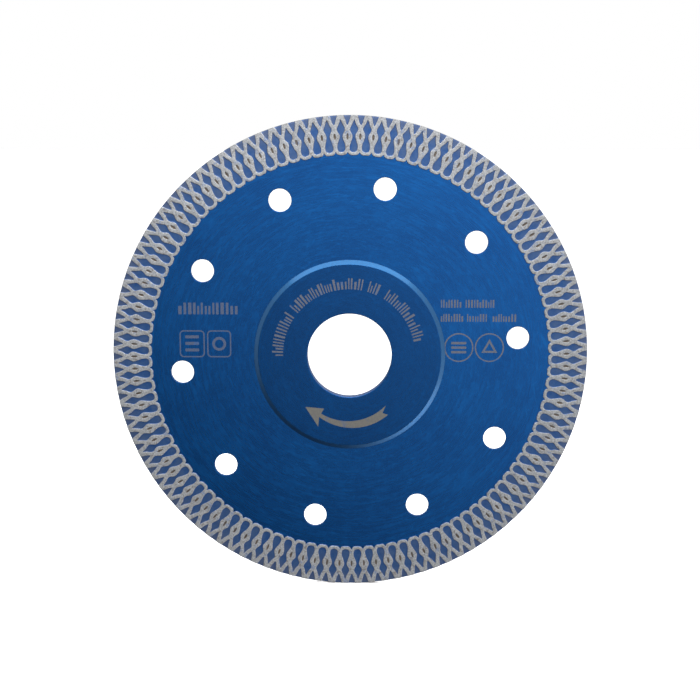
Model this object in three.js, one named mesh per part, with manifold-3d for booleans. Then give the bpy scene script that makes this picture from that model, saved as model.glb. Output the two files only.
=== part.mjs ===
// Diamond blade for a small angle grinder: a thin steel disc whose edge carries a
// sintered diamond rim with a crossed-strand (mesh) relief on both flanks, and whose
// centre is stiffened by a chamfered hub plate brazed to each face.
//
// Units are millimetres, +Z up. The blade stands upright like a wheel: the origin is the
// blade's centre (bore axis, middle of the thickness), the spin axis is Y, and the front
// face, which carries the rotation arrow, looks towards -Y.
//
// Flat outlines are drawn in the blade's own plane (u to the right, v up, w towards the
// front) and turned into the frame by (x, y, z) = (u, -w, v).

import * as THREE from 'three';
import { mergeVertices } from 'three/addons/utils/BufferGeometryUtils.js';
import Module from 'manifold-3d';

// ---------------------------------------------------------------- driving dimensions
const BLADE_D = 125.0;          // outside diameter of the rim
const BORE_D = 22.23;           // standard 7/8 inch arbor bore
const CORE_T = 1.0;             // steel core thickness
const CORE_R = 54.0;            // radius of the core's edge, inside the rim
const RIM_T = 1.4;              // rim thickness over the raised strands
const RIM_INNER_R = 52.45;      // inner edge of the raised relief, lapped over the core
const CELLS = 108;              // mesh cells around the rim
const CELL_PHASE = 2.20;        // degrees, centre of the first window
const WINDOW_TOP_R = 60.6;      // outer corner of a mesh window
const WINDOW_MID_R = 57.1;      // widest place of a mesh window
const WINDOW_LOW_R = 53.3;      // inner corner of a mesh window
const WINDOW_HALF = 0.86;       // degrees, half width of a window at its widest
const GULLET_HALF = 1.0;        // degrees, half width of an edge gullet at the outside
const GULLET_LOW_R = 60.4;      // inner corner of an edge gullet
const KEY_COUNT = 27;           // locking notches in the core's edge
const KEY_DEPTH = 1.0;
const KEY_HALF_OUT = 1.10;      // degrees, half width of a notch at the core's edge
const KEY_HALF_IN = 1.32;       // degrees, half width at its floor (undercut)
const SEAT_GAP = 0.02;          // gap between the rim's keys and the notch walls
const VENT_COUNT = 10;          // cooling holes
const VENT_D = 6.0;
const VENT_PCD = 89.0;
const VENT_PHASE = 6.02;        // degrees, first hole
const BRAZE_T = 0.05;           // braze film between hub plate and core
const BRAZE_INNER_R = 11.6;
const BRAZE_OUTER_R = 24.8;
const HUB_T = 1.05;             // hub plate thickness
const HUB_OUTER_R = 25.2;       // foot of the hub plate's chamfer
const HUB_FACE_R = 24.1;        // outer radius of the flat clamping face
const HUB_LAND = 0.10;          // upright edge below the chamfer
const SEG = 72;                 // facets around the bore and hub
const BRAZE_SEG = 48;           // facets around a braze film

const RAD = Math.PI / 180;
const RIM_R = BLADE_D / 2;
const BORE_R = BORE_D / 2;
const HALF_CORE = CORE_T / 2;
const HALF_RIM = RIM_T / 2;

// ---------------------------------------------------------------- helpers
const wasm = await Module();
wasm.setup();

const polar = (r, deg) => new THREE.Vector2(r * Math.cos(deg * RAD), r * Math.sin(deg * RAD));

function circle(r, n, phase = 0) {
  return Array.from({ length: n }, (_, i) => polar(r, phase + (360 * i) / n));
}

// a flat plate with holes, from w0 to w1, still in (u, v, w)
function plate(outline, holes, w0, w1) {
  const shape = new THREE.Shape(outline);
  for (const h of holes) shape.holes.push(new THREE.Path(h));
  const g = new THREE.ExtrudeGeometry(shape, { depth: w1 - w0, bevelEnabled: false, steps: 1 });
  const p = g.attributes.position;
  for (let i = 0; i < p.count; i++) p.setZ(i, p.getZ(i) > (w1 - w0) / 2 ? w1 : w0);
  return g;
}

function bare(geometry) {
  const g = geometry.index ? geometry.toNonIndexed() : geometry.clone();
  g.deleteAttribute('normal');
  g.deleteAttribute('uv');
  return mergeVertices(g, 1e-4);
}

function solidOf(geometry) {
  const g = bare(geometry);
  return new wasm.Manifold(new wasm.Mesh({
    numProp: 3,
    vertProperties: new Float32Array(g.attributes.position.array),
    triVerts: new Uint32Array(g.index.array),
  }));
}

function geometryOf(solid) {
  const m = solid.getMesh();
  const g = new THREE.BufferGeometry();
  g.setAttribute('position', new THREE.BufferAttribute(new Float32Array(m.vertProperties), 3));
  g.setIndex(new THREE.BufferAttribute(new Uint32Array(m.triVerts), 1));
  return g;
}

// (u, v, w) -> (x, y, z) = (u, -w, v), exact in every coordinate
function upright(geometry) {
  const p = geometry.attributes.position;
  for (let i = 0; i < p.count; i++) p.setXYZ(i, p.getX(i), -p.getZ(i), p.getY(i));
  return geometry;
}

// a ring turned about the spin axis: closed profile of [radius, w]
function turned(profile, segments) {
  const pts = profile.map(([r, w]) => new THREE.Vector2(r, w));
  pts.push(pts[0].clone());
  const g = bare(new THREE.LatheGeometry(pts, segments));
  const p = g.attributes.position;
  // LatheGeometry turns about its own Y; half a turn about X brings w to -Y
  for (let i = 0; i < p.count; i++) p.setXYZ(i, p.getX(i), -p.getY(i), -p.getZ(i));
  return g;
}

function piece(name, geometry, material) {
  geometry.computeVertexNormals();
  const mesh = new THREE.Mesh(geometry, material);
  mesh.name = name;
  return mesh;
}

// ---------------------------------------------------------------- outlines
// Edge of the core with undercut locking notches. grow = 0 is the core itself; a positive
// grow is the mating contour of the rim, held off the core by that gap on every wall.
function keyedEdge(grow) {
  const pts = [];
  const pitch = 360 / KEY_COUNT;
  const slip = (grow / CORE_R) / RAD * 1.3;
  for (let k = 0; k < KEY_COUNT; k++) {
    const c = k * pitch;
    pts.push(polar(CORE_R + grow, c - KEY_HALF_OUT + slip));
    pts.push(polar(CORE_R - KEY_DEPTH + grow, c - KEY_HALF_IN + slip));
    pts.push(polar(CORE_R - KEY_DEPTH + grow, c));
    pts.push(polar(CORE_R - KEY_DEPTH + grow, c + KEY_HALF_IN - slip));
    pts.push(polar(CORE_R + grow, c + KEY_HALF_OUT - slip));
    for (let s = 1; s <= 3; s++) {
      pts.push(polar(CORE_R + grow, c + KEY_HALF_OUT + ((pitch - 2 * KEY_HALF_OUT) * s) / 4));
    }
  }
  return pts;
}

const cell = 360 / CELLS;
const footHalf = cell / 2 - GULLET_HALF;   // half width of a strand crossing at the outside

// outside circle of the rim, with a corner at each side of every gullet
function rimCircle() {
  const pts = [];
  for (let k = 0; k < CELLS; k++) {
    const c = CELL_PHASE + k * cell;
    pts.push(polar(RIM_R, c - footHalf), polar(RIM_R, c + footHalf));
  }
  return pts;
}

// raised relief: the same circle, cut by a gullet between each pair of crossings
function reliefOutline() {
  const pts = [];
  for (let k = 0; k < CELLS; k++) {
    const c = CELL_PHASE + k * cell;
    pts.push(polar(RIM_R, c - footHalf), polar(RIM_R, c + footHalf), polar(GULLET_LOW_R, c + cell / 2));
  }
  return pts;
}

function reliefWindows() {
  const holes = [];
  for (let k = 0; k < CELLS; k++) {
    const c = CELL_PHASE + k * cell;
    holes.push([
      polar(WINDOW_TOP_R, c),
      polar(WINDOW_MID_R, c - WINDOW_HALF),
      polar(WINDOW_LOW_R, c),
      polar(WINDOW_MID_R, c + WINDOW_HALF),
    ]);
  }
  return holes;
}

// ---------------------------------------------------------------- solids
const vents = Array.from({ length: VENT_COUNT }, (_, k) => {
  const centre = polar(VENT_PCD / 2, VENT_PHASE + (360 * k) / VENT_COUNT);
  return circle(VENT_D / 2, 24).map((p) => p.add(centre)).reverse();
});

function coreDisc() {
  return upright(bare(plate(
    keyedEdge(0),
    [circle(BORE_R, SEG).reverse(), ...vents],
    -HALF_CORE, HALF_CORE,
  )));
}

function diamondRim() {
  const body = solidOf(plate(rimCircle(), [keyedEdge(SEAT_GAP).reverse()], -HALF_CORE, HALF_CORE));
  const lap = circle(RIM_INNER_R, CELLS, CELL_PHASE).reverse();
  const front = solidOf(plate(reliefOutline(), [lap, ...reliefWindows()], HALF_CORE, HALF_RIM));
  const rear = solidOf(plate(reliefOutline(), [lap, ...reliefWindows()], -HALF_RIM, -HALF_CORE));
  return upright(geometryOf(body.add(front).add(rear)));
}

// side = +1 for the front, -1 for the rear
function hubPlate(side) {
  const w0 = HALF_CORE + BRAZE_T;
  const w1 = w0 + HUB_T;
  const profile = [
    [BORE_R, w0], [HUB_OUTER_R, w0], [HUB_OUTER_R, w0 + HUB_LAND], [HUB_FACE_R, w1], [BORE_R, w1],
  ];
  return turned(side > 0 ? profile : profile.map(([r, w]) => [r, -w]).reverse(), SEG);
}

function brazeRing(side) {
  const w0 = HALF_CORE;
  const w1 = HALF_CORE + BRAZE_T;
  const profile = [[BRAZE_INNER_R, w0], [BRAZE_OUTER_R, w0], [BRAZE_OUTER_R, w1], [BRAZE_INNER_R, w1]];
  return turned(side > 0 ? profile : profile.map(([r, w]) => [r, -w]).reverse(), BRAZE_SEG);
}

// ---------------------------------------------------------------- materials
const lacquer = (colour) => new THREE.MeshStandardMaterial({ color: colour, roughness: 0.38, metalness: 0.55 });
const coreBlue = lacquer(0x17467e);
const hubBlue = lacquer(0x123d74);
const sintered = new THREE.MeshStandardMaterial({ color: 0xa8a39b, roughness: 0.62, metalness: 0.75 });
const braze = new THREE.MeshStandardMaterial({ color: 0xb9a46a, roughness: 0.45, metalness: 0.9 });

// ---------------------------------------------------------------- assembly
const blade = new THREE.Group();
blade.add(
  piece('core_disc', coreDisc(), coreBlue),
  piece('diamond_rim', diamondRim(), sintered),
  piece('front_hub_plate', hubPlate(1), hubBlue),
  piece('rear_hub_plate', hubPlate(-1), hubBlue),
  piece('front_braze_ring', brazeRing(1), braze),
  piece('rear_braze_ring', brazeRing(-1), braze),
);

export default blade;
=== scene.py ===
import math

import bpy
import numpy as np
from mathutils import Matrix, Vector
from mathutils.geometry import delaunay_2d_cdt


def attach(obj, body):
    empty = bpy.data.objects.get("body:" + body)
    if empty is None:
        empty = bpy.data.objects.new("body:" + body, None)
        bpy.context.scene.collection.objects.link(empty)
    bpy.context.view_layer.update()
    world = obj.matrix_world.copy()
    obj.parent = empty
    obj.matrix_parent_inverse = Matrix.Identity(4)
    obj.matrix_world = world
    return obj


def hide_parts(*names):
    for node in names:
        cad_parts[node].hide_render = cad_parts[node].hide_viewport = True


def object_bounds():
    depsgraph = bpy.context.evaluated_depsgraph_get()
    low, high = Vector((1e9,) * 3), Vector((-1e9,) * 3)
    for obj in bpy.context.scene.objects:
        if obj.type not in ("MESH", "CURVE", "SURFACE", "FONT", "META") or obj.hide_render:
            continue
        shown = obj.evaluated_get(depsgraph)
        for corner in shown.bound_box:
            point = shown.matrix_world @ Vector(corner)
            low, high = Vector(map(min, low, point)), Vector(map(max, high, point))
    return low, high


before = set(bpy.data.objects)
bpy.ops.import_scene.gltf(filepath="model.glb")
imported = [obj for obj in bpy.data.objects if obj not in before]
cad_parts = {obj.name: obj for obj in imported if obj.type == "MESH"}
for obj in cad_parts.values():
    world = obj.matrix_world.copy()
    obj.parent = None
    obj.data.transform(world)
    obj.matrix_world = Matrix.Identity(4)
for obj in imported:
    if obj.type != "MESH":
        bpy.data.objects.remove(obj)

CAD_BOX = [[float(c) for c in corner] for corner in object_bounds()]
MM = 0.001
DEG = math.pi / 180

# ------------------------------------------------------------------ sizes, in millimetres
# The blade's plane is (u to the right, v up, w towards the front); the frame is (u, -w, v).
BORE_R = 11.115
CORE_H = 0.50            # half thickness of the core
CORE_R = 54.0
RIM_R = 62.5
RIM_H = 0.70             # half thickness over the strands
HUB_R = 25.2
HUB_FACE_R = 24.1
HUB_W0 = 0.55            # the hub plate's inner face
HUB_W1 = 1.60            # the hub plate's outer face
VENT_R = 3.0
VENT_RING = 44.5
VENT_PHASE = 6.02
CELLS = 108
CELL = 360.0 / CELLS
CELL_PHASE = 2.20


# ------------------------------------------------------------------ mesh helpers
def to_frame(p):
    """(u, v, w) in millimetres to the row frame in metres."""
    p = np.asarray(p, float)
    return np.stack([p[:, 0], -p[:, 2], p[:, 1]], 1) * MM


def link(name, points, faces, mats, mat_index=None, smooth=True):
    """A mesh object from points in (u, v, w) millimetres, with area-weighted vertex normals."""
    me = bpy.data.meshes.new(name)
    co = to_frame(points)
    me.from_pydata(co.tolist(), [], [list(f) for f in faces])
    for m in mats:
        me.materials.append(m)
    if mat_index is not None:
        me.polygons.foreach_set("material_index", np.asarray(mat_index, np.int32))
    me.polygons.foreach_set("use_smooth", np.full(len(me.polygons), smooth))
    me.update()
    if smooth:
        me.calc_loop_triangles()
        tri = np.zeros(len(me.loop_triangles) * 3, np.int32)
        me.loop_triangles.foreach_get("vertices", tri)
        tri = tri.reshape(-1, 3)
        a, b, c = co[tri[:, 0]], co[tri[:, 1]], co[tri[:, 2]]
        n = np.cross(b - a, c - a)
        acc = np.zeros_like(co)
        for k in range(3):
            np.add.at(acc, tri[:, k], n)
        length = np.linalg.norm(acc, axis=1, keepdims=True)
        acc = acc / np.where(length < 1e-20, 1, length)
        me.normals_split_custom_set_from_vertices(acc.tolist())
    ob = bpy.data.objects.new(name, me)
    bpy.context.scene.collection.objects.link(ob)
    return ob


def polar(r, deg):
    t = np.asarray(deg, float) * DEG
    return np.stack([np.asarray(r) * np.cos(t), np.asarray(r) * np.sin(t)], -1)


def circle(cx, cy, r, n, phase=0.0):
    t = (np.arange(n) / n * 360 + phase) * DEG
    return np.stack([cx + r * np.cos(t), cy + r * np.sin(t)], 1)


def fill(loops, inside):
    """Constrained triangulation of closed loops of 2D points. Keeps the triangles whose centre passes inside()."""
    pts = np.concatenate(loops)
    edges, base = [], 0
    for l in loops:
        n = len(l)
        edges += [(base + i, base + (i + 1) % n) for i in range(n)]
        base += n
    out = delaunay_2d_cdt([Vector(p) for p in pts.tolist()], edges, [], 0, 1e-9, True)
    vs = np.array([tuple(v) for v in out[0]])
    orig = out[3]
    back = [o[0] if len(o) else -1 for o in orig]
    tris = []
    for f in out[2]:
        f = list(f)
        c = vs[f].mean(0)
        if inside(c):
            g = [back[i] for i in f]
            if min(g) < 0:
                raise ValueError("triangulation added a point")
            a, b, d = vs[f[0]], vs[f[1]], vs[f[2]]
            if (b[0] - a[0]) * (d[1] - a[1]) - (b[1] - a[1]) * (d[0] - a[0]) < 0:
                g = g[::-1]
            tris.append(g)
    return tris


def in_poly(p, poly):
    x, y = p
    xs, ys = poly[:, 0], poly[:, 1]
    x2, y2 = np.roll(xs, -1), np.roll(ys, -1)
    hit = (ys > y) != (y2 > y)
    with np.errstate(divide="ignore", invalid="ignore"):
        cross = (x2 - xs) * (y - ys) / (y2 - ys) + xs
    return bool(np.count_nonzero(hit & (x < cross)) % 2)


def lathe(name, profile, n, mats, mat_of=None):
    """A ring from a closed profile of (r, w), counter-clockwise in the (r, w) half plane seen with r to the right and w up."""
    profile = np.asarray(profile, float)
    m = len(profile)
    t = np.arange(n) / n * 2 * math.pi
    pts = np.zeros((n, m, 3))
    pts[:, :, 0] = profile[None, :, 0] * np.cos(t)[:, None]
    pts[:, :, 1] = profile[None, :, 0] * np.sin(t)[:, None]
    pts[:, :, 2] = profile[None, :, 1]
    faces, index = [], []
    for i in range(n):
        j = (i + 1) % n
        for k in range(m):
            l = (k + 1) % m
            faces.append((i * m + k, j * m + k, j * m + l, i * m + l))
            index.append(mat_of(profile[k], profile[l]) if mat_of else 0)
    # u x v = w: for a profile that runs counter-clockwise, the outward side needs this order
    return link(name, pts.reshape(-1, 3), faces, mats, index)


# ------------------------------------------------------------------ material helpers
def material(name):
    m = bpy.data.materials.new(name)
    m.use_nodes = True
    nt = m.node_tree
    for n in list(nt.nodes):
        nt.nodes.remove(n)
    return m, nt


class Net:
    def __init__(self, nt):
        self.nt = nt

    def put(self, n, key, v):
        s = n.inputs[key]
        if isinstance(v, bpy.types.NodeSocket):
            self.nt.links.new(v, s)
        else:
            s.default_value = v

    def math(self, op, a, b=None, clamp=False):
        n = self.nt.nodes.new("ShaderNodeMath")
        n.operation = op
        n.use_clamp = clamp
        self.put(n, 0, a)
        if b is not None:
            self.put(n, 1, b)
        return n.outputs[0]

    def range(self, v, a, b, c, d):
        n = self.nt.nodes.new("ShaderNodeMapRange")
        n.clamp = True
        for k, x in (("Value", v), ("From Min", a), ("From Max", b), ("To Min", c), ("To Max", d)):
            self.put(n, k, x)
        return n.outputs["Result"]

    def mix(self, f, a, b):
        n = self.nt.nodes.new("ShaderNodeMix")
        n.data_type = "RGBA"
        self.put(n, 0, f)
        self.put(n, 6, a)
        self.put(n, 7, b)
        return n.outputs[2]

    def noise(self, vec, scale, detail=2.0, rough=0.5, distortion=0.0):
        n = self.nt.nodes.new("ShaderNodeTexNoise")
        self.put(n, "Vector", vec)
        self.put(n, "Scale", scale)
        self.put(n, "Detail", detail)
        self.put(n, "Roughness", rough)
        self.put(n, "Distortion", distortion)
        return n.outputs["Fac"]

    def xyz(self, v):
        n = self.nt.nodes.new("ShaderNodeSeparateXYZ")
        self.put(n, 0, v)
        return n.outputs

    def vec(self, x, y, z):
        n = self.nt.nodes.new("ShaderNodeCombineXYZ")
        self.put(n, 0, x)
        self.put(n, 1, y)
        self.put(n, 2, z)
        return n.outputs[0]

    def ring(self, around, across, at=(0.0, 0.0)):
        """Coordinates that run around an axis through (x, z) = at, and across it, with no seam. around is how many
        noise units one radian takes, across how many units one metre of radius takes."""
        obj = self.nt.nodes.new("ShaderNodeTexCoord").outputs["Object"]
        x, y, z = self.xyz(obj)
        if at != (0.0, 0.0):
            x, z = self.math("SUBTRACT", x, at[0]), self.math("SUBTRACT", z, at[1])
        flat = self.vec(x, 0.0, z)
        ln = self.nt.nodes.new("ShaderNodeVectorMath")
        ln.operation = "LENGTH"
        self.put(ln, 0, flat)
        r = ln.outputs["Value"]
        inv = self.math("DIVIDE", around, self.math("MAXIMUM", r, 1e-4))
        return self.vec(self.math("MULTIPLY", x, inv), self.math("MULTIPLY", r, across), self.math("MULTIPLY", z, inv)), obj, r


def lacquer(name, deep, light, base_rough=0.27, streak=1.0, patch_scale=55.0, coat=0.20, coat_ior=1.45,
            metal=0.92, spec=0.5):
    """Blue lacquer over ground steel: tinted metal with fine marks around the axis, under a thin clear coat."""
    m, nt = material(name)
    n = Net(nt)
    long_c, obj, r = n.ring(6.0, 1350.0)
    short_c, _, _ = n.ring(24.0, 3600.0)
    mid_c, _, _ = n.ring(11.0, 620.0)
    long_n = n.noise(long_c, 1.0, 3.0, 0.6)
    short_n = n.noise(short_c, 1.0, 2.0, 0.55)
    mid_n = n.noise(mid_c, 1.0, 2.0, 0.5)
    patch = n.noise(obj, patch_scale, 3.0, 0.55)
    fleck = n.noise(obj, 900.0, 2.0, 0.6)
    grind = n.math("ADD", n.math("MULTIPLY", long_n, 0.45), n.math("ADD", n.math("MULTIPLY", short_n, 0.35), n.math("MULTIPLY", mid_n, 0.20)))
    # light scratches on an even ground, and two sparse sets that curve round other centres, as a swirl sander leaves
    lean = n.math("MAXIMUM", n.range(grind, 0.38, 0.48, 0.22, 0.38), n.range(grind, 0.48, 0.62, 0.38, 1.0))
    swirl_a = n.noise(n.ring(15.0, 1500.0, (0.024, 0.013))[0], 1.0, 2.0, 0.55)
    swirl_b = n.noise(n.ring(17.0, 1700.0, (-0.019, -0.026))[0], 1.0, 2.0, 0.55)
    swirl = n.math("MAXIMUM", n.range(swirl_a, 0.60, 0.74, 0.0, 1.0), n.range(swirl_b, 0.60, 0.74, 0.0, 1.0))
    tone = n.math("ADD", n.math("MULTIPLY", lean, 0.62 * streak),
                  n.math("ADD", n.math("MULTIPLY", n.range(patch, 0.32, 0.68, 0.0, 1.0), 0.26),
                         n.math("MULTIPLY", n.range(fleck, 0.3, 0.7, 0.0, 1.0), 0.12)))
    tone = n.math("ADD", tone, n.math("MULTIPLY", swirl, 0.40 * streak), clamp=True)
    colour = n.mix(tone, deep, light)
    rough = n.range(grind, 0.35, 0.65, base_rough - 0.05, base_rough + 0.07)
    bump = nt.nodes.new("ShaderNodeBump")
    n.put(bump, "Strength", 0.30 * streak)
    n.put(bump, "Distance", 0.00002)
    n.put(bump, "Height", grind)
    p = nt.nodes.new("ShaderNodeBsdfPrincipled")
    n.put(p, "Base Color", colour)
    n.put(p, "Metallic", metal)
    n.put(p, "Specular IOR Level", spec)
    n.put(p, "Roughness", rough)
    n.put(p, "Coat Weight", coat)
    n.put(p, "Coat Roughness", 0.14)
    n.put(p, "Coat IOR", coat_ior)
    n.put(p, "Normal", bump.outputs[0])
    out = nt.nodes.new("ShaderNodeOutputMaterial")
    nt.links.new(p.outputs[0], out.inputs[0])
    return m


def bond(name, pale, grey, brown, residue=0.35, grit=0.0):
    """Bare sintered bond: pale ground metal with darker pores, brown grit and a trace of lacquer left on it."""
    m, nt = material(name)
    n = Net(nt)
    obj = nt.nodes.new("ShaderNodeTexCoord").outputs["Object"]
    pores = n.noise(obj, 2600.0, 3.0, 0.65)
    spots = n.noise(obj, 1150.0, 2.0, 0.6)
    broad = n.noise(obj, 260.0, 2.0, 0.5)
    blue = n.noise(obj, 620.0, 2.0, 0.55, 0.4)
    v = nt.nodes.new("ShaderNodeTexVoronoi")
    n.put(v, "Vector", obj)
    n.put(v, "Scale", 2100.0)
    grain = v.outputs["Distance"]
    c = n.mix(n.range(pores, 0.35, 0.62, 0.0, 1.0), grey, pale)
    c = n.mix(n.range(spots, 0.56, 0.70, 0.0, 0.75), c, brown)
    c = n.mix(n.range(broad, 0.40, 0.66, 0.0, 0.35), c, grey)
    c = n.mix(n.range(blue, 0.60, 0.70, 0.0, residue), c, (0.030, 0.110, 0.300, 1))
    if grit:
        cell = nt.nodes.new("ShaderNodeTexVoronoi")
        n.put(cell, "Vector", obj)
        n.put(cell, "Scale", 1500.0)
        c = n.mix(n.range(cell.outputs["Distance"], 0.16, 0.34, 0.75 * grit, 0.0), c, (0.165, 0.160, 0.120, 1))
    height = n.math("ADD", n.math("MULTIPLY", pores, 0.6), n.math("MULTIPLY", grain, 0.8))
    bump = nt.nodes.new("ShaderNodeBump")
    n.put(bump, "Strength", 0.55)
    n.put(bump, "Distance", 0.00006)
    n.put(bump, "Height", height)
    p = nt.nodes.new("ShaderNodeBsdfPrincipled")
    n.put(p, "Base Color", c)
    n.put(p, "Metallic", 0.50)
    n.put(p, "Roughness", n.range(pores, 0.3, 0.7, 0.62, 0.48))
    n.put(p, "Normal", bump.outputs[0])
    out = nt.nodes.new("ShaderNodeOutputMaterial")
    nt.links.new(p.outputs[0], out.inputs[0])
    return m


def print_ink(name, tone, worn, metallic=0.35):
    """A thin grey printed mark with a slightly worn, grainy surface that lets some blue through."""
    m, nt = material(name)
    n = Net(nt)
    long_c, obj, r = n.ring(7.0, 3400.0)
    grain = n.noise(obj, 2300.0, 3.0, 0.6)
    wear = n.noise(obj, 420.0, 2.0, 0.6)
    streak = n.noise(long_c, 1.0, 2.0, 0.6)
    c = n.mix(n.range(grain, 0.35, 0.65, 0.0, 0.55), tone, worn)
    c = n.mix(n.range(wear, 0.56, 0.72, 0.0, 0.55), c, (0.020, 0.090, 0.250, 1))
    bump = nt.nodes.new("ShaderNodeBump")
    n.put(bump, "Strength", 0.3)
    n.put(bump, "Distance", 0.00002)
    n.put(bump, "Height", n.math("ADD", grain, streak))
    p = nt.nodes.new("ShaderNodeBsdfPrincipled")
    n.put(p, "Base Color", c)
    n.put(p, "Metallic", metallic)
    n.put(p, "Roughness", n.range(grain, 0.3, 0.7, 0.45, 0.6))
    n.put(p, "Normal", bump.outputs[0])
    out = nt.nodes.new("ShaderNodeOutputMaterial")
    nt.links.new(p.outputs[0], out.inputs[0])
    return m


def recess(name):
    """The recesses between the strands: thin matt lacquer, mottled, and rubbed greyer towards the outside."""
    m, nt = material(name)
    n = Net(nt)
    around, obj, r = n.ring(40.0, 900.0)
    patch = n.noise(obj, 620.0, 3.0, 0.6)
    broad = n.noise(obj, 190.0, 2.0, 0.5)
    speck = n.noise(obj, 2300.0, 2.0, 0.6)
    c = n.mix(n.range(patch, 0.34, 0.66, 0.0, 1.0), (0.014, 0.060, 0.192, 1), (0.036, 0.084, 0.205, 1))
    c = n.mix(n.range(broad, 0.42, 0.66, 0.0, 0.40), c, (0.062, 0.090, 0.160, 1))
    rubbed = n.math("MULTIPLY", n.range(r, 0.0592, 0.0614, 0.0, 0.50), n.range(speck, 0.30, 0.66, 0.45, 1.0))
    c = n.mix(rubbed, c, (0.092, 0.102, 0.145, 1))
    bump = nt.nodes.new("ShaderNodeBump")
    n.put(bump, "Strength", 0.45)
    n.put(bump, "Distance", 0.00004)
    n.put(bump, "Height", n.math("ADD", patch, n.math("MULTIPLY", speck, 0.5)))
    p = nt.nodes.new("ShaderNodeBsdfPrincipled")
    n.put(p, "Base Color", c)
    n.put(p, "Metallic", 0.80)
    n.put(p, "Roughness", n.range(speck, 0.3, 0.7, 0.42, 0.58))
    n.put(p, "Coat Weight", 0.10)
    n.put(p, "Coat Roughness", 0.25)
    n.put(p, "Normal", bump.outputs[0])
    out = nt.nodes.new("ShaderNodeOutputMaterial")
    nt.links.new(p.outputs[0], out.inputs[0])
    return m


CORE_BLUE = lacquer("core_blue", (0.0008, 0.047, 0.190, 1), (0.0022, 0.092, 0.322, 1))
HUB_BLUE = lacquer("hub_blue", (0.0005, 0.040, 0.155, 1), (0.0010, 0.070, 0.250, 1), streak=0.7)
# the hub's chamfer: a copy of the hub lacquer made lighter and greyer than the face, a painted highlight on top of the
# one the lamps give
HUB_EDGE_HIGHLIGHT = lacquer("hub_edge_painted_highlight_blue", (0.004, 0.052, 0.140, 1), (0.010, 0.086, 0.215, 1), base_rough=0.31, streak=0.6, coat=0.26, coat_ior=1.5)
# walls of the bore and the vents: a duller finish, and a colour about three times darker than the face lacquer, which
# is painted shade inside the holes
HOLE_WALL_SHADE_BLUE = lacquer("hole_wall_painted_shade_blue", (0.0005, 0.016, 0.062, 1), (0.0008, 0.026, 0.092, 1), base_rough=0.60, streak=0.4, coat=0.0, metal=0.0, spec=0.12)
RECESS_BLUE = recess("recess_blue")
BARE_BOND = bond("bare_bond", (0.326, 0.336, 0.350, 1), (0.186, 0.192, 0.202, 1), (0.116, 0.100, 0.088, 1))
EYE_BOND = bond("eye_bond", (0.116, 0.092, 0.074, 1), (0.072, 0.060, 0.052, 1), (0.056, 0.044, 0.036, 1), residue=0.15)
EDGE_BOND = bond("edge_bond", (0.105, 0.103, 0.101, 1), (0.062, 0.061, 0.061, 1), (0.050, 0.040, 0.031, 1), residue=0.0, grit=1.0)
BRAZE = bond("braze_alloy", (0.60, 0.50, 0.30, 1), (0.40, 0.34, 0.22, 1), (0.30, 0.22, 0.12, 1), residue=0.0)
INK = print_ink("mark_ink", (0.128, 0.124, 0.112, 1), (0.086, 0.086, 0.086, 1))
INK_THIN = print_ink("mark_ink_thin", (0.096, 0.104, 0.132, 1), (0.049, 0.068, 0.122, 1))
INK_COOL = print_ink("mark_ink_cool", (0.064, 0.084, 0.142, 1), (0.032, 0.055, 0.122, 1))


# ------------------------------------------------------------------ camera
# Fitted view: the blade's plane seen from a little above and from the right of its axis.
TILT, PAN = 0.1573, -0.0191
CAM_AT = (0.1056, 1.2623, 366.8)
ca, sa, cb, sb = math.cos(TILT), math.sin(TILT), math.cos(PAN), math.sin(PAN)
R = np.array([[1, 0, 0], [0, ca, -sa], [0, sa, ca]]) @ np.array([[cb, 0, sb], [0, 1, 0], [-sb, 0, cb]])
to_xyz = np.array([[1, 0, 0], [0, 0, -1], [0, 1, 0]])
axes = to_xyz @ R.T
place = to_xyz @ (R.T @ np.array(CAM_AT)) * MM
cam_data = bpy.data.cameras.new("camera")
cam_data.sensor_width = 36.0
cam_data.lens = 71.39
cam_data.clip_start = 0.01
cam_data.clip_end = 50.0
cam = bpy.data.objects.new("camera", cam_data)
mat = Matrix.Identity(4)
for i in range(3):
    for j in range(3):
        mat[i][j] = axes[i][j]
    mat[i][3] = place[i]
cam.matrix_world = mat
bpy.context.scene.collection.objects.link(cam)
bpy.context.scene.camera = cam


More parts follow.
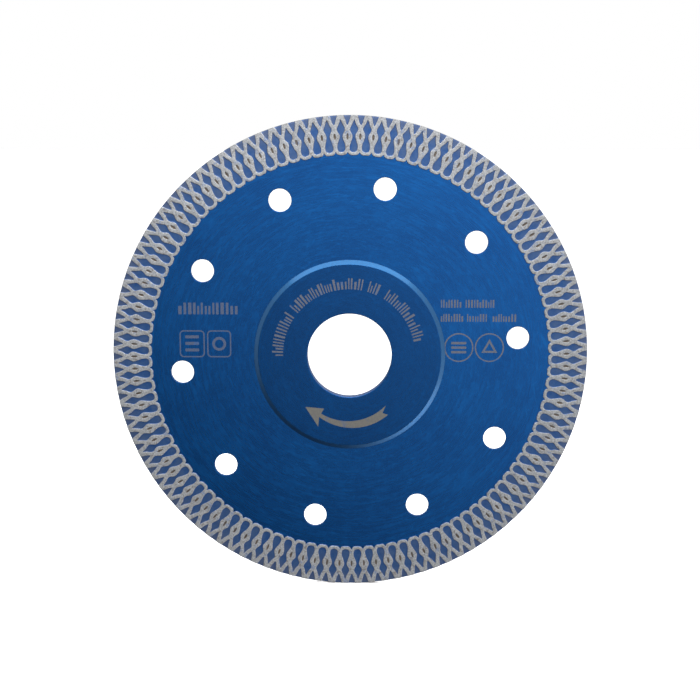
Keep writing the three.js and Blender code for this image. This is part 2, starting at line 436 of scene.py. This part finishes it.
# ------------------------------------------------------------------ core disc
def core_disc(edge):
    """edge: the rim's inner line, in (u, v) millimetres. The core's face runs to it and then steps in under the rim."""
    h = CORE_H
    seg = 40
    vents = [polar(VENT_RING, VENT_PHASE + 36 * k) for k in range(10)]
    # each loop: rings from the front face down to the middle of the wall, as (radius, w)
    round_in = [(0.12, 0.0), (0.055, -0.020), (0.020, -0.055), (0.0, -0.12)]
    loops = [(0, 0, 128, [(BORE_R + 0.0, h), (BORE_R, h - 0.02), (BORE_R, h - 0.06), (BORE_R, h - 0.12)], -1)]
    for c in vents:
        loops.append((c[0], c[1], seg, [(VENT_R + d, h + e) for d, e in round_in], -1))
    pts, rings = [], []
    n = len(edge)
    th = np.arctan2(edge[:, 1], edge[:, 0])
    rr = np.hypot(edge[:, 0], edge[:, 1])
    mine = []
    steps = [(rr, h), (rr + 0.04, h - 0.04), (np.full(n, CORE_R - 0.05), h - 0.05), (np.full(n, CORE_R - 0.02), h - 0.12)]
    for r, w in steps + [(r, -w) for r, w in steps[::-1]]:
        mine.append(len(pts))
        pts += [(a * math.cos(t), a * math.sin(t), w) for a, t in zip(r, th)]
    rings.append((n, mine, 1))
    for cx, cy, n, prof, side in loops:
        mine = []
        for r, w in prof + [(r, -w) for r, w in prof[::-1]]:
            c = circle(cx, cy, r, n)
            mine.append(len(pts))
            pts += [(x, y, w) for x, y in c]
        rings.append((n, mine, side))
    front = [np.array(pts[m[0]:m[0] + n])[:, :2] for n, m, s in rings]
    ids = np.concatenate([np.arange(m[0], m[0] + n) for n, m, s in rings])
    back_ids = np.concatenate([np.arange(m[-1], m[-1] + n) for n, m, s in rings])

    def inside(c):
        if math.hypot(*c) < BORE_R or not in_poly(c, edge):
            return False
        return all(math.hypot(c[0] - v[0], c[1] - v[1]) > VENT_R + 0.11 for v in vents)

    tris = fill(front, inside)
    faces = [tuple(int(ids[i]) for i in t) for t in tris]
    faces += [tuple(int(back_ids[i]) for i in t[::-1]) for t in tris]
    index = [0] * len(faces)
    for n, m, side in rings:
        for k, (a, b) in enumerate(zip(m[:-1], m[1:])):
            for i in range(n):
                j = (i + 1) % n
                q = (a + i, b + i, b + j, a + j)
                faces.append(q if side > 0 else q[::-1])
                # the rounded brim of each hole keeps the face's lacquer; the wall inside it has a duller finish and a
                # much darker colour, which is painted shade inside the hole
                index.append(1 if side < 0 and 1 <= k <= len(m) - 3 else 0)
    ob = link("core_disc_lacquered", pts, faces, [CORE_BLUE, HOLE_WALL_SHADE_BLUE], index)
    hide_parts("core_disc")
    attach(ob, "root")
    return ob


# ------------------------------------------------------------------ hub plates
def hub_plate(side):
    w0, w1 = HUB_W0, HUB_W1
    p = [(BORE_R, w0), (HUB_R - 0.03, w0), (HUB_R, w0 + 0.03), (HUB_R, w0 + 0.07), (HUB_R - 0.02, w0 + 0.105),
         (HUB_R - 0.06, w0 + 0.14)]
    # straight chamfer, then a rounded shoulder into the flat
    a, b = np.array([HUB_R - 0.06, w0 + 0.14]), np.array([HUB_FACE_R, w1])
    for t in (0.33, 0.66, 0.90):
        p.append(tuple(a + (b - a) * t))
    p += [(HUB_FACE_R + 0.045, w1 - 0.035), (HUB_FACE_R - 0.01, w1 - 0.010), (HUB_FACE_R - 0.09, w1)]
    for r in (22.0, 19.0, 16.0, 13.0):
        p.append((r, w1))
    p += [(BORE_R + 0.16, w1), (BORE_R + 0.07, w1 - 0.02), (BORE_R + 0.02, w1 - 0.07), (BORE_R, w1 - 0.16), (BORE_R, w0 + 0.3)]
    if side < 0:
        p = [(r, -w) for r, w in p][::-1]
    name = "front_hub_plate" if side > 0 else "rear_hub_plate"
    # material 1, the chamfer, the plate's edge and the shoulder, is the hub lacquer with a painted highlight in its
    # colour
    ob = lathe(name + "_lacquered", p, 288, [HUB_BLUE, HUB_EDGE_HIGHLIGHT, HOLE_WALL_SHADE_BLUE],
               # material 2, the bore's wall, is the hole-wall lacquer, painted darker as shade inside the hole
               lambda a, b: 2 if max(a[0], b[0]) < BORE_R + 0.03 else int(min(a[0], b[0]) > HUB_FACE_R - 0.02))
    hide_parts(name)
    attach(ob, "root")
    return ob


# ------------------------------------------------------------------ diamond rim
def spline(ctrl, n, closed=True):
    """n points, evenly spaced along a centripetal-like Catmull-Rom curve through ctrl."""
    c = np.asarray(ctrl, float)
    m = len(c)
    dense = []
    last = m if closed else m - 1
    for i in range(last):
        p0 = c[(i - 1) % m] if closed or i > 0 else 2 * c[0] - c[1]
        p1, p2 = c[i], c[(i + 1) % m]
        p3 = c[(i + 2) % m] if closed or i + 2 < m else 2 * c[-1] - c[-2]
        for t in np.linspace(0, 1, 24, endpoint=False):
            dense.append(0.5 * (2 * p1 + (p2 - p0) * t + (2 * p0 - 5 * p1 + 4 * p2 - p3) * t * t + (3 * p1 - p0 - 3 * p2 + p3) * t ** 3))
    if not closed:
        dense.append(c[-1])
    d = np.array(dense)
    if closed:
        d = np.vstack([d, d[:1]])
    s = np.concatenate([[0], np.cumsum(np.linalg.norm(np.diff(d, axis=0), axis=1))])
    want = np.linspace(0, s[-1], n + 1)[:-1] if closed else np.linspace(0, s[-1], n)
    return np.stack([np.interp(want, s, d[:, k]) for k in range(2)], 1)


HALF = CELL / 2


def lift(a, r):
    """Degrees and radius to flat millimetres on the cell (x along the rim, y outwards), good over one cell."""
    return np.stack([np.asarray(a) * DEG * 57.5, np.asarray(r)], -1)


def drop(p):
    return p[..., 0] / (DEG * 57.5), p[..., 1]


def offset(loop, d, closed=True):
    """Moves each point of a loop (in flat millimetres) by d to its left."""
    if closed:
        t = np.roll(loop, -1, 0) - np.roll(loop, 1, 0)
    else:
        t = np.gradient(loop, axis=0)
    t /= np.linalg.norm(t, axis=1, keepdims=True)
    nrm = np.stack([-t[:, 1], t[:, 0]], 1)
    return loop + nrm * d


def diamond_rim():
    # every strand is a little domed: (distance from its outline into the recess, height w), from its top to the floor
    steps = [(-0.13, RIM_H), (0.0, RIM_H - 0.050), (0.070, CORE_H + 0.030), (0.115, CORE_H)]
    right = [(0.0, 61.42), (0.13, 61.20), (0.27, 60.78), (0.45, 60.25), (0.74, 59.68), (0.97, 59.25), (1.03, 58.88),
             (0.90, 58.40), (0.60, 57.88), (0.37, 57.32), (0.39, 56.75), (0.64, 56.02), (0.92, 55.25), (1.09, 54.55),
             (1.09, 53.95), (0.93, 53.42), (0.54, 53.12), (0.0, 53.05)]
    win_ctrl = [lift(a, r) for a, r in right] + [lift(-a, r) for a, r in right[-2:0:-1]]
    window = spline(win_ctrl, 46)[::-1]                       # runs counter-clockwise
    def area(l):
        return 0.5 * np.sum(l[:, 0] * np.roll(l[:, 1], -1) - np.roll(l[:, 0], -1) * l[:, 1])
    if area(window) < 0:
        window = window[::-1]
    n_eye = 14
    te = np.arange(n_eye) / n_eye * 2 * math.pi + math.pi / 2
    eye = np.stack([HALF * DEG * 57.5 + 0.27 * np.cos(te), 57.0 + 0.80 * np.sin(te)], 1)   # starts at its top
    gr = np.array([RIM_R - 0.05, 61.85, 61.25, 60.72, 60.32, 60.07, 59.95])
    ga = np.array([0.87, 0.71, 0.55, 0.39, 0.25, 0.12, 0.0])
    gul_l = lift(HALF - ga, gr)                                # from the outside down to the apex
    gul_r = lift(HALF + ga, gr)[::-1][1:]                      # and up again
    gullet = np.vstack([gul_l, gul_r])
    n_s = 17
    sa_ = np.linspace(-HALF, HALF, n_s)
    scallop = lift(sa_, 52.30 + 0.86 * np.abs(sa_ / HALF) ** 4.0)
    # ---- points of one cell
    P, key = [], []

    def put(l, w):
        base = len(P)
        for x, y in l:
            P.append((x, y, w))
        return list(range(base, base + len(l)))

    def rings(loop):
        return [put(offset(loop, d), w) for d, w in steps]

    W = rings(window)               # left of a counter-clockwise loop is its inside
    E = rings(eye)
    # gullet: open curve from the outside on the left, down and up; its inside (the recess) is on its left
    gul_rings = []
    for d, w in steps:
        o = offset(gullet, +d, False)
        # the two ends stay on the outside circle
        o[0, 1] = o[-1, 1] = RIM_R - 0.05
        gul_rings.append(put(o, w))
    # scallop: runs from left to right, and the free side is below it (its right)
    sc = []
    for d, w in steps:
        o = offset(scallop, -d, False)
        o[0, 0], o[-1, 0] = scallop[0, 0], scallop[-1, 0]
        sc.append(put(o, w))
    # outside arc of the strand foot, between this cell's gullet and the last one's
    foot_a = P[gul_rings[0][0]][0] / (DEG * 57.5)
    n_f = 7
    arc = lift(np.linspace(-foot_a, foot_a, n_f), np.full(n_f, RIM_R - 0.05))
    A = put(arc[1:-1], RIM_H)
    # floor arc inside the gullet, at the outside
    fl0, fl1 = np.array(P[gul_rings[-1][0]][:2]), np.array(P[gul_rings[-1][-1]][:2])
    n_fl = 6
    farc = np.linspace(fl0, fl1, n_fl)[1:-1]
    F = put(farc, CORE_H)

    faces, mats = [], []

    def strips(rs, closed, flip, first_mat=1):
        for k, (a, b) in enumerate(zip(rs[:-1], rs[1:])):
            n = len(a)
            for i in range(n if closed else n - 1):
                j = (i + 1) % n
                q = (a[i], a[j], b[j], b[i])
                faces.append(q[::-1] if flip else q)
                mats.append(0 if k == 0 else first_mat)

    strips(W, True, False)
    strips(E, True, False, 2)
    strips(gul_rings, False, False)
    strips(sc, False, True)
    # ---- top face of the cell: its own gullet's left half and the last gullet's right half bound it
    mid = len(gul_l) - 1
    g = gul_rings[0]
    cellx = CELL * DEG * 57.5
    half_e = [i for i in range(n_eye) if eye[i, 0] <= HALF * DEG * 57.5 + 1e-9]
    order = sorted(half_e, key=lambda i: eye[i, 1])            # bottom to top along its left half
    other = [i for i in range(n_eye) if eye[i, 0] >= HALF * DEG * 57.5 - 1e-9]
    order_r = sorted(other, key=lambda i: -eye[i, 1])          # top to bottom along the last eye's right half
    ids, xy = [], []

    def along(list_ids, dx=0.0, tag=0):
        for i in list_ids:
            ids.append((i, tag))
            xy.append((P[i][0] + dx, P[i][1]))

    along(sc[0])                                               # left to right along the bottom
    along([E[0][i] for i in order])                            # up the eye's left side
    along([g[i] for i in range(mid, -1, -1)])                  # up the gullet's left side
    along(A[::-1])                                             # right to left along the outside
    along([g[i] for i in range(len(g) - 1, mid - 1, -1)], -cellx, -1)   # down the last gullet's right side
    along([E[0][i] for i in order_r], -cellx, -1)              # down the last eye's right side
    outer = np.array(xy)
    hole = np.array([P[i][:2] for i in W[0]])
    hole_ids = [(i, 0) for i in W[0]]
    all_ids = ids + hole_ids
    tris = fill([outer, hole], lambda c: in_poly(c, outer) and not in_poly(c, hole))
    top = [[all_ids[i] for i in t] for t in tris]
    # ---- floors
    floors = []
    wl = np.array([P[i][:2] for i in W[-1]])
    for t in fill([wl], lambda c: in_poly(c, wl)):
        floors.append(([W[-1][i] for i in t], 1))
    el = np.array([P[i][:2] for i in E[-1]])
    for t in fill([el], lambda c: in_poly(c, el)):
        floors.append(([E[-1][i] for i in t], 2))
    gl_ids = gul_rings[-1] + F[::-1]
    gl = np.array([P[i][:2] for i in gl_ids])
    for t in fill([gl], lambda c: in_poly(c, gl)):
        floors.append(([gl_ids[i] for i in t], 1))
    # ---- outside edge of the cell, left to right: foot arc, then the gullet's walls and floor
    edge = [(gul_rings[0][-1], -1)] + [(i, 0) for i in A] + [(gul_rings[k][0], 0) for k in range(len(steps))]
    edge += [(i, 0) for i in F] + [(gul_rings[k][-1], 0) for k in range(len(steps) - 1, -1, -1)]
    P = np.array(P)
    nP = len(P)
    # ---- the scallop's right end is the next cell's left end
    same = {}
    for k in range(len(steps)):
        same[sc[k][-1]] = sc[k][0]

    def gid(c, i):
        """The number of point i of cell c in the whole ring, after joining neighbours."""
        if i in same:
            return ((c + 1) % CELLS) * nP + same[i]
        return (c % CELLS) * nP + i

    V = np.zeros((CELLS * nP, 3))
    a, r = drop(P[:, :2])
    for c in range(CELLS):
        th = (CELL_PHASE + c * CELL + a)
        V[c * nP:(c + 1) * nP, 0] = th
        V[c * nP:(c + 1) * nP, 1] = r
        V[c * nP:(c + 1) * nP, 2] = P[:, 2]
    # ---- a little irregularity, the same at every depth
    rng = np.random.default_rng(7)
    th, rr = V[:, 0] * DEG, V[:, 1]
    dth, dr = np.zeros(len(V)), np.zeros(len(V))
    fade = np.clip((RIM_R - 0.05 - rr) / 1.2, 0, 1)
    for _ in range(26):
        kt, kr = rng.integers(30, 330), rng.uniform(0.3, 2.4)
        ph = rng.uniform(0, 2 * math.pi, 2)
        amp = rng.uniform(0.4, 1.0)
        dth += amp * np.sin(kt * th + kr * rr + ph[0])
        dr += amp * np.sin(kt * th - kr * rr + ph[1])
    dth *= 0.0095 / 57.5
    dr *= 0.0095 * fade
    th, rr = th + dth, rr + dr
    G = np.stack([rr * np.cos(th), rr * np.sin(th), V[:, 2]], 1)
    allf, allm = [], []
    for c in range(CELLS):
        for f, mt in zip(faces, mats):
            allf.append(tuple(gid(c, i) for i in f))
            allm.append(mt)
        for t in top:
            allf.append(tuple(gid(c + tag, i) for i, tag in t))
            allm.append(0)
        for f, mt in floors:
            allf.append(tuple(gid(c, i) for i in f))
            allm.append(mt)
    # the cell is drawn with x running the way the angle grows, which is mirrored seen from the front
    allf = [f[::-1] for f in allf]
    # ---- back: the same, mirrored in w
    n0 = len(G)
    back = G.copy()
    back[:, 2] *= -1
    pts = [G, back]
    nf = len(allf)
    allf += [tuple(i + n0 for i in f[::-1]) for f in allf[:nf]]
    allm += allm[:nf]
    # ---- outside band, with a worn corner on each side, and the hidden inner wall
    loop = []
    for c in range(CELLS):
        loop += [gid(c + tag, i) for i, tag in edge[:-1]]
    m = len(loop)
    q = G[loop]
    out = q.copy()
    f = RIM_R / np.hypot(q[:, 0], q[:, 1])
    out[:, 0] *= f
    out[:, 1] *= f
    out[:, 2] -= 0.05
    midf = out.copy()
    midf[:, 2] *= 0.45
    o1 = 2 * n0
    outb, midb = out.copy(), midf.copy()
    outb[:, 2] *= -1
    midb[:, 2] *= -1
    pts += [out, midf, midb, outb]
    for i in range(m):
        j = (i + 1) % m
        rows = [(loop[i], loop[j])] + [(o1 + k * m + i, o1 + k * m + j) for k in range(4)] + [(loop[i] + n0, loop[j] + n0)]
        for (a0, a1), (b0, b1) in zip(rows[:-1], rows[1:]):
            allf.append((a0, a1, b1, b0)[::-1])
            allm.append(3)
    wall = []
    for c in range(CELLS):
        wall += [gid(c, i) for i in sc[-1][:-1]]
    for i in range(len(wall)):
        j = (i + 1) % len(wall)
        allf.append((wall[i], wall[i] + n0, wall[j] + n0, wall[j])[::-1])
        allm.append(1)
    pts = np.concatenate(pts)
    used = np.unique(np.concatenate([np.array(f) for f in allf]))
    remap = -np.ones(len(pts), int)
    remap[used] = np.arange(len(used))
    allf = [tuple(int(remap[i]) for i in f) for f in allf]
    ob = link("diamond_rim_mesh", pts[used], allf, [BARE_BOND, RECESS_BLUE, EYE_BOND, EDGE_BOND], allm)
    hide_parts("diamond_rim")
    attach(ob, "root")
    line = [gid(c, i) for c in range(CELLS) for i in sc[0][:-1]]
    return ob, G[line][:, :2]


rim, rim_line = diamond_rim()
core = core_disc(rim_line)
hub_f = hub_plate(1)
hub_r = hub_plate(-1)
for name in ("front_braze_ring", "rear_braze_ring"):
    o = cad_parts[name]
    o.data.materials.clear()
    o.data.materials.append(BRAZE)


# ------------------------------------------------------------------ printed marks
INK_T = 0.012


def prism(points2, holes2, w0, w1, bag):
    """Adds a flat outline, with holes, to bag as a thin closed solid between w0 and w1."""
    pts, faces = bag
    loops = [np.asarray(points2, float)] + [np.asarray(h, float) for h in holes2]

    def ok(c):
        return in_poly(c, loops[0]) and not any(in_poly(c, h) for h in loops[1:])

    tris = fill(loops, ok)
    base = len(pts)
    flat = np.concatenate(loops)
    n = len(flat)
    pts += [(x, y, w1) for x, y in flat] + [(x, y, w0) for x, y in flat]
    faces += [tuple(base + i for i in t) for t in tris]
    faces += [tuple(base + n + i for i in t[::-1]) for t in tris]
    s = 0
    for k, l in enumerate(loops):
        a = 0.5 * np.sum(l[:, 0] * np.roll(l[:, 1], -1) - np.roll(l[:, 0], -1) * l[:, 1])
        ccw = a > 0
        for i in range(len(l)):
            p, q = base + s + i, base + s + (i + 1) % len(l)
            f = (p, p + n, q + n, q)
            outward = ccw if k == 0 else not ccw
            faces.append(f if outward else f[::-1])
        s += len(l)


def bar(x0, y0, x1, y1, rad=0.12, n=3):
    """A rectangle with small rounded corners, counter-clockwise."""
    rad = min(rad, (x1 - x0) / 2 * 0.98, (y1 - y0) / 2 * 0.98)
    out = []
    for cx, cy, s in ((x1 - rad, y0 + rad, -90), (x1 - rad, y1 - rad, 0), (x0 + rad, y1 - rad, 90), (x0 + rad, y0 + rad, 180)):
        for k in range(n + 1):
            t = (s + 90 * k / n) * DEG
            out.append((cx + rad * math.cos(t), cy + rad * math.sin(t)))
    return out


def arc_bar(r0, r1, a0, a1, cx=0.0, cy=0.0, n=4):
    """A bar bent around (cx, cy), between radii and angles."""
    t = np.linspace(a0, a1, n)
    o = [(cx + r1 * math.cos(x * DEG), cy + r1 * math.sin(x * DEG)) for x in t]
    i = [(cx + r0 * math.cos(x * DEG), cy + r0 * math.sin(x * DEG)) for x in t[::-1]]
    return (o + i) if a1 > a0 else (o + i)[::-1]


def three_point_arc(p, q, s, n):
    """n points on the circle through p, q and s, from p to s."""
    ax, ay, bx, by, cx, cy = *p, *q, *s
    d = 2 * (ax * (by - cy) + bx * (cy - ay) + cx * (ay - by))
    ux = ((ax * ax + ay * ay) * (by - cy) + (bx * bx + by * by) * (cy - ay) + (cx * cx + cy * cy) * (ay - by)) / d
    uy = ((ax * ax + ay * ay) * (cx - bx) + (bx * bx + by * by) * (ax - cx) + (cx * cx + cy * cy) * (bx - ax)) / d
    r = math.hypot(ax - ux, ay - uy)
    t0, t1, t2 = (math.atan2(y - uy, x - ux) for x, y in (p, q, s))
    full = (t2 - t0) % (2 * math.pi)
    part = (t1 - t0) % (2 * math.pi)
    if part > full:
        full -= 2 * math.pi
    return [(ux + r * math.cos(t0 + full * k / (n - 1)), uy + r * math.sin(t0 + full * k / (n - 1))) for k in range(n)]


def mark(name, bag, mat):
    ob = link(name, np.array(bag[0]), bag[1], [mat], smooth=False)
    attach(ob, "root")
    return ob


HUB_FACE = HUB_W1
# rotation arrow on the hub, below the bore, pointing clockwise seen from the front
bag = ([], [])
upper = three_point_arc((-7.55, -15.55), (0.6, -17.55), (9.6, -13.25), 22)
lower = three_point_arc((10.2, -15.8), (0.6, -19.4), (-8.05, -16.45), 22)
outline = upper + [(8.75, -15.35)] + lower + [(-8.3, -19.1), (-11.7, -13.75), (-6.7, -14.2)]
prism(outline[::-1], [], HUB_FACE, HUB_FACE + INK_T, bag)
mark("mark_arrow", bag, INK)

# a band of plain ticks around the top of the hub, in groups
bag = ([], [])
rng = np.random.default_rng(21)
for a_from, a_to in ((181.0, 145.5), (140.5, 79.0), (74.0, 63.5), (58.5, 13.0)):
    a = a_from
    while a > a_to + 0.5:
        wide = float(rng.choice([0.34, 0.42, 0.58]))
        gap = float(rng.choice([0.34, 0.42, 0.50]))
        step = wide / 18.6 / DEG
        lo, hi = 17.35, 20.25
        cut = rng.integers(0, 5)
        top = hi - 0.9 if cut < 2 else hi
        prism(arc_bar(lo, top, a - step, a, -0.15, 0.25), [], HUB_FACE, HUB_FACE + INK_T, bag)
        a -= step + gap / 18.6 / DEG
mark("mark_hub_ticks", bag, INK_THIN)


def tick_row(u0, u1, v0, v1, groups, wide, gap, bag, seed):
    rng = np.random.default_rng(seed)
    for g0, g1 in groups:
        u = u0 + (u1 - u0) * g0
        end = u0 + (u1 - u0) * g1
        while u < end - 0.35:
            wd = min(float(rng.choice(wide)), end - u)
            top = v1 if rng.random() < 0.7 else v1 - 0.28 * (v1 - v0)
            prism(bar(u, v0, u + wd, top, 0.06, 1), [], CORE_H, CORE_H + INK_T, bag)
            u += wd + float(rng.choice(gap))


# left of the hub: one row of broad ticks over two rounded frames
bag = ([], [])
tick_row(-45.1, -28.9, 10.75, 13.85, [(0.0, 1.0)], [0.55, 0.7, 0.9], [0.40, 0.5], bag, 5)
for u0, u1 in ((-44.9, -38.25), (-37.6, -31.25)):
    prism(bar(u0, -0.7, u1, 6.5, 1.1, 6), [bar(u0 + 0.33, -0.37, u1 - 0.33, 6.17, 0.8, 6)[::-1]], CORE_H, CORE_H + INK_T, bag)
for k in range(3):
    prism(bar(-43.4, 0.85 + 1.75 * k, -39.75, 1.65 + 1.75 * k, 0.2, 3), [], CORE_H, CORE_H + INK_T, bag)
prism(circle(-34.42, 2.9, 1.85, 28).tolist(), [circle(-34.42, 2.9, 1.15, 28)[::-1].tolist()], CORE_H, CORE_H + INK_T, bag)
mark("marks_left", bag, INK_COOL)

# right of the hub: two rows of fine ticks over two ringed symbols
bag = ([], [])
tick_row(23.95, 38.3, 12.65, 14.75, [(0.0, 0.39), (0.45, 1.0)], [0.30, 0.38, 0.46], [0.28, 0.34], bag, 11)
tick_row(23.95, 44.2, 8.95, 11.0, [(0.0, 0.29), (0.34, 0.61), (0.67, 1.0)], [0.30, 0.38, 0.46], [0.28, 0.34], bag, 12)
for cu in (28.75, 36.8):
    prism(circle(cu, 2.1, 3.85, 56).tolist(), [circle(cu, 2.1, 3.5, 56)[::-1].tolist()], CORE_H, CORE_H + INK_T, bag)
for k in range(3):
    prism(bar(26.75, 0.55 + 1.2 * k, 30.75, 1.2 + 1.2 * k, 0.2, 3), [], CORE_H, CORE_H + INK_T, bag)
prism([(34.7, 0.7), (38.9, 0.7), (36.8, 4.4)], [[(35.65, 1.25), (36.8, 3.3), (37.95, 1.25)]], CORE_H, CORE_H + INK_T, bag)
mark("marks_right", bag, INK_THIN)


# ------------------------------------------------------------------ floor, world and lights
def floor():
    m, nt = material("floor_white")
    n = Net(nt)
    p = nt.nodes.new("ShaderNodeBsdfPrincipled")
    obj = nt.nodes.new("ShaderNodeTexCoord").outputs["Object"]
    n.put(p, "Base Color", n.mix(n.noise(obj, 3.0, 2.0), (0.90, 0.90, 0.90, 1), (0.92, 0.92, 0.92, 1)))
    n.put(p, "Roughness", 0.9)
    out = nt.nodes.new("ShaderNodeOutputMaterial")
    nt.links.new(p.outputs[0], out.inputs[0])
    s = 8.0
    z = CAD_BOX[0][2]
    me = bpy.data.meshes.new("floor")
    me.from_pydata([(-s, -s, z), (s, -s, z), (s, s, z), (-s, s, z)], [], [(0, 1, 2, 3)])
    me.materials.append(m)
    ob = bpy.data.objects.new("floor", me)
    bpy.context.scene.collection.objects.link(ob)
    return ob


def area(name, at, aim, size, watts, colour=(1, 1, 1), size_y=None):
    l = bpy.data.lights.new(name, "AREA")
    l.energy = watts
    l.color = colour
    l.size = size
    if size_y:
        l.shape = "RECTANGLE"
        l.size_y = size_y
    ob = bpy.data.objects.new(name, l)
    bpy.context.scene.collection.objects.link(ob)
    ob.location = at
    ob.rotation_euler = (Vector(aim) - Vector(at)).to_track_quat("-Z", "Y").to_euler()
    return ob


RAMP_BASE, RAMP_UP, RAMP_RIGHT = 1.22, 2.9, 2.2
RING = ((180, 1.45), (160, 1.75), (140, 2.3), (120, 2.7), (100, 2.7), (80, 2.7), (60, 3.1), (42, 3.4), (20, 2.3),
        (0, 2.0), (338, 2.4), (322, 5.6), (304, 5.6), (286, 2.7), (266, 0.35), (240, 0.20), (215, 0.45), (198, 1.0))
RING_MAX = 6.0
ROOM = 0.55

world = bpy.data.worlds.new("world")
bpy.context.scene.world = world
world.use_nodes = True
wn = world.node_tree
for x in list(wn.nodes):
    wn.nodes.remove(x)
# What the blade reflects, the same in front of it and behind it: in the middle a soft ramp, dim at the lower left and
# bright at the upper right, and around the blade's edge a ring of soft boxes, brightest overhead and at the lower
# right, dark at the lower left. The camera itself sees plain white behind the blade.
w = Net(wn)
d = wn.nodes.new("ShaderNodeTexCoord").outputs["Generated"]
unit = wn.nodes.new("ShaderNodeVectorMath")
unit.operation = "NORMALIZE"
w.put(unit, 0, d)
dx, dy, dz = w.xyz(unit.outputs[0])
slope = w.math("ADD", w.math("MULTIPLY", dz, RAMP_UP), w.math("MULTIPLY", dx, RAMP_RIGHT))
middle = w.math("MINIMUM", w.math("MAXIMUM", w.math("ADD", slope, RAMP_BASE), 0.05), 2.6)
turn = w.math("ADD", w.math("DIVIDE", w.math("ARCTAN2", dz, dx), 2 * math.pi), 0.5)
ramp = wn.nodes.new("ShaderNodeValToRGB")
w.put(ramp, 0, turn)
stops = sorted((((a + 180) % 360) / 360, v) for a, v in RING)
stops = [(0.0, stops[0][1])] + [t for t in stops if t[0] > 0] + [(1.0, stops[0][1])]
el = ramp.color_ramp.elements
el[0].position, el[1].position = 0.0, 1.0
for k, (at, v) in enumerate(stops):
    e = el[0] if k == 0 else el[len(el) - 1] if k == len(stops) - 1 else el.new(at)
    e.color = (v / RING_MAX,) * 3 + (1,)
around = w.math("MULTIPLY", ramp.outputs[0], RING_MAX)
side_on = w.math("ABSOLUTE", dy)
face = w.range(side_on, 0.56, 0.86, 0.0, 1.0)
edge = w.range(side_on, 0.14, 0.36, 1.0, 0.0)
rest = w.math("MULTIPLY", w.math("SUBTRACT", w.math("SUBTRACT", 1.0, face), edge), ROOM)
light = w.math("ADD", rest, w.math("ADD", w.math("MULTIPLY", middle, face), w.math("MULTIPLY", around, edge)))
bg_light = wn.nodes.new("ShaderNodeBackground")
bg_light.inputs["Color"].default_value = (1, 1, 1, 1)
w.put(bg_light, "Strength", light)
bg_seen = wn.nodes.new("ShaderNodeBackground")
bg_seen.inputs["Color"].default_value = (1, 1, 1, 1)
bg_seen.inputs["Strength"].default_value = 1.0
pick = wn.nodes.new("ShaderNodeMixShader")
w.put(pick, 0, wn.nodes.new("ShaderNodeLightPath").outputs["Is Camera Ray"])
wn.links.new(bg_light.outputs[0], pick.inputs[1])
wn.links.new(bg_seen.outputs[0], pick.inputs[2])
wo = wn.nodes.new("ShaderNodeOutputWorld")
wn.links.new(pick.outputs[0], wo.inputs[0])

over = area("overhead", (0, 0, 0.19), (0, 0, 0), 0.36, 1.0, size_y=0.34)
over.visible_camera = False
for name, y in (("front_top", -0.16), ("back_top", 0.16)):
    near = area(name, (0, y, 0.17), (0, 0, 0.03), 0.10, 0.27)
    near.visible_camera = False
ground = floor()
ground.visible_diffuse = ground.visible_glossy = ground.visible_transmission = ground.visible_shadow = False

bpy.context.scene.view_settings.view_transform = "Standard"
bpy.context.scene.view_settings.look = "None"
